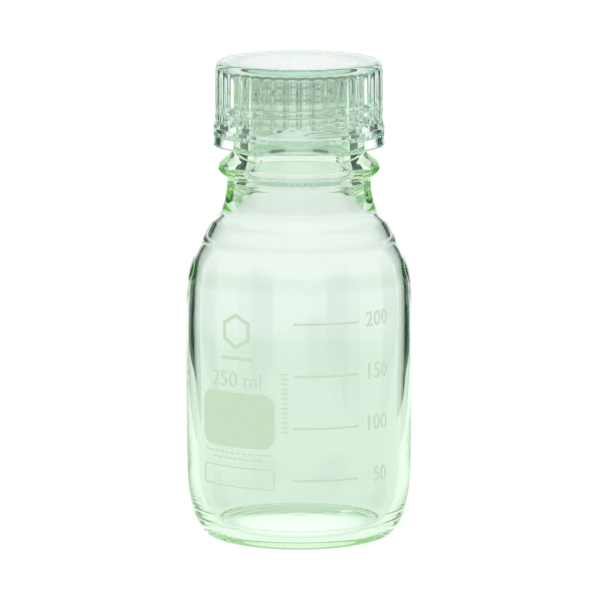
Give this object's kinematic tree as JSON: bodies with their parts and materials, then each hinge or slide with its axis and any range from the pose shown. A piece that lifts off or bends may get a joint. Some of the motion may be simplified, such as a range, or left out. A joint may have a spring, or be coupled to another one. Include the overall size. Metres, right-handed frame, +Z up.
{
  "type": "reagent bottle",
  "caption": "Straight-sided clear glass laboratory bottle with a wavy shoulder, a beaded threaded neck, an enamel scale and a ribbed clear screw cap.",
  "frame": {"origin": "middle of the base, on the surface the bottle stands on", "axes": "+Z up along the bottle's axis, the enamel scale on the front faces -Y, +X to the right seen from the front"},
  "size_m": [0.07, 0.0702, 0.1482],
  "materials": {
    "borosilicate_glass": "clear blown glass, faint green",
    "clear_plastic": "clear moulded plastic, gloss",
    "liner": "translucent soft plastic",
    "enamel": "pale fired enamel, matt"
  },
  "bodies": {
    "bottle": {"glass_bottle": "borosilicate_glass", "writing_panel": "enamel", "graduation_50": "enamel", "graduation_100": "enamel", "graduation_150": "enamel", "graduation_200": "enamel"},
    "liner": {"seal_liner": "liner"},
    "cap": {"screw_cap": "clear_plastic"}
  },
  "joints": [
    {"name": "cap_rise", "type": "slide", "parent": "bottle", "child": "liner", "axis": [0, 0, 1], "range_m": [0, 0.0091]},
    {"name": "cap_turn", "type": "hinge", "parent": "liner", "child": "cap", "pos_m": [0, 0, 0.1462], "axis": [0, 0, 1], "range_deg": [0, 810]}
  ],
  "couplings": [
    {"joint": "cap_rise", "follows": "cap_turn", "m_per_rad": 0.00063662}
  ]
}
